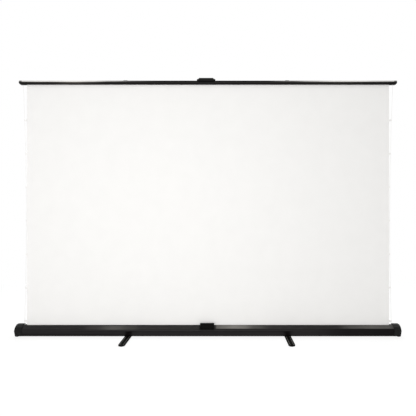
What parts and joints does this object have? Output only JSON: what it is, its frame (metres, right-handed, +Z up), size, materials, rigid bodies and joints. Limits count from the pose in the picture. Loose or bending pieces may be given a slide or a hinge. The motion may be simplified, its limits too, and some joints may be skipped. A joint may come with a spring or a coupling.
{
  "type": "pull-up projection screen",
  "caption": "Floor-standing pull-up projection screen: a white cloth rises from a low black case on a crossed-arm lift, held by a top bar with a handle; turning feet and a press latch.",
  "frame": {"origin": "on the floor, half way along the case and midway between the fronts and backs of the feet", "axes": "+X to the viewer's right along the case, +Y away from the viewer, +Z up; the screen is stored raised"},
  "size_m": [2.374, 0.49, 1.6],
  "materials": {
    "black_aluminium": "black anodised, satin",
    "black_arm": "black anodised, matt",
    "aluminium": "mill finish",
    "black_plastic": "fine moulded grain",
    "steel": "zinc plated",
    "dark_steel": "black oxide",
    "white_cloth": "matt white, fine weave",
    "white_tape": "matt white",
    "white_cord": "braided white",
    "rubber": "matt"
  },
  "bodies": {
    "case": {"case_profile": "black_aluminium", "case_end_cap_left": "black_plastic", "case_end_cap_right": "black_plastic", "end_cap_screws": "steel", "spring_arbor": "steel", "roller_spring": "steel", "screen_cloth": "white_cloth", "edge_strips": "white_tape", "edge_tabs_left": "white_tape", "edge_tabs_right": "white_tape", "tension_cord_left": "white_cord", "tension_cord_right": "white_cord", "lower_pivot_bracket": "steel", "lower_pivot_pin": "steel", "latch_base": "black_plastic", "latch_pin": "steel", "latch_spring": "steel", "foot_bolts": "steel", "foot_washers": "steel", "foot_nut_plates": "steel"},
    "roller": {"roller_tube": "aluminium", "roller_plug_left": "black_plastic", "roller_plug_right": "black_plastic", "cord_spools": "black_plastic", "cloth_roll": "white_cloth"},
    "lower_arm_a": {"lower_arm_a": "black_arm", "lower_cross_pin": "steel", "elbow_pin_right": "steel"},
    "lower_arm_b": {"lower_arm_b": "black_arm", "elbow_pin_left": "steel"},
    "upper_arm_b": {"upper_arm_b": "black_arm", "upper_cross_pin": "steel"},
    "upper_arm_a": {"upper_arm_a": "black_arm"},
    "top_bar": {"top_bar": "black_aluminium", "bar_end_cap_left": "black_plastic", "bar_end_cap_right": "black_plastic", "cloth_spline": "white_tape", "cord_crimps": "steel", "handle": "black_plastic", "handle_screws": "dark_steel", "bracket_covers": "black_plastic", "cover_screws": "dark_steel", "upper_pivot_bracket": "steel", "upper_pivot_pin": "steel", "slider_stop": "black_plastic"},
    "upper_slider": {"upper_slider": "black_plastic", "upper_slider_pin": "steel"},
    "lower_slider": {"lower_slider": "black_plastic", "lower_slider_pin": "steel"},
    "latch_catch": {"latch_catch": "black_plastic"},
    "foot_left": {"foot_left": "black_plastic", "foot_pads_left": "rubber"},
    "foot_right": {"foot_right": "black_plastic", "foot_pads_right": "rubber"}
  },
  "joints": [
    {"name": "lift", "type": "hinge", "parent": "case", "child": "lower_arm_a", "pos_m": [-0.514, 0.02425, 0.04], "axis": [0, 1, 0], "range_deg": [0, 36.17], "deforming": ["screen_cloth", "edge_strips", "edge_tabs_left", "edge_tabs_right", "tension_cord_left", "tension_cord_right"]},
    {"name": "lower_cross", "type": "hinge", "parent": "lower_arm_a", "child": "lower_arm_b", "pos_m": [-0.011, 0.02425, 0.42242], "axis": [0, 1, 0], "range_deg": [-72.34, 0]},
    {"name": "elbow_right", "type": "hinge", "parent": "lower_arm_a", "child": "upper_arm_b", "pos_m": [0.492, 0.02425, 0.80485], "axis": [0, 1, 0], "range_deg": [-72.34, 0]},
    {"name": "upper_cross", "type": "hinge", "parent": "upper_arm_b", "child": "upper_arm_a", "pos_m": [-0.011, 0.02425, 1.18728], "axis": [0, 1, 0], "range_deg": [0, 72.34]},
    {"name": "bar_pivot", "type": "hinge", "parent": "upper_arm_b", "child": "top_bar", "pos_m": [-0.514, 0.02425, 1.5697], "axis": [0, 1, 0], "range_deg": [0, 36.17]},
    {"name": "upper_slider_pivot", "type": "hinge", "parent": "upper_arm_a", "child": "upper_slider", "pos_m": [0.492, 0.02425, 1.5697], "axis": [0, 1, 0], "range_deg": [-36.17, 0]},
    {"name": "lower_slider_pivot", "type": "hinge", "parent": "lower_arm_b", "child": "lower_slider", "pos_m": [0.492, 0.02425, 0.04], "axis": [0, 1, 0], "range_deg": [0, 36.17]},
    {"name": "roller_spin", "type": "hinge", "parent": "case", "child": "roller", "pos_m": [0, -0.009, 0.036], "axis": [1, 0, 0], "range_deg": [-5464.6, 0]},
    {"name": "latch_press", "type": "hinge", "parent": "case", "child": "latch_catch", "pos_m": [-0.005, -0.022, 0.0662], "axis": [1, 0, 0], "range_deg": [0, 12], "stiffness_Nm_per_rad": 0.5},
    {"name": "foot_left_swivel", "type": "hinge", "parent": "case", "child": "foot_left", "pos_m": [-0.492, 0, 0], "axis": [0, 0, 1], "range_deg": [-90, 0]},
    {"name": "foot_right_swivel", "type": "hinge", "parent": "case", "child": "foot_right", "pos_m": [0.492, 0, 0], "axis": [0, 0, 1], "range_deg": [0, 90]}
  ],
  "couplings": [
    {"joint": "lower_cross", "follows": "lift", "ratio": -2},
    {"joint": "elbow_right", "follows": "lift", "ratio": -2},
    {"joint": "upper_cross", "follows": "lift", "ratio": 2},
    {"joint": "bar_pivot", "follows": "lift", "ratio": 1},
    {"joint": "upper_slider_pivot", "follows": "lift", "ratio": -1},
    {"joint": "lower_slider_pivot", "follows": "lift", "ratio": 1},
    {"joint": "roller_spin", "follows": "lift", "ratio": -151.03}
  ]
}
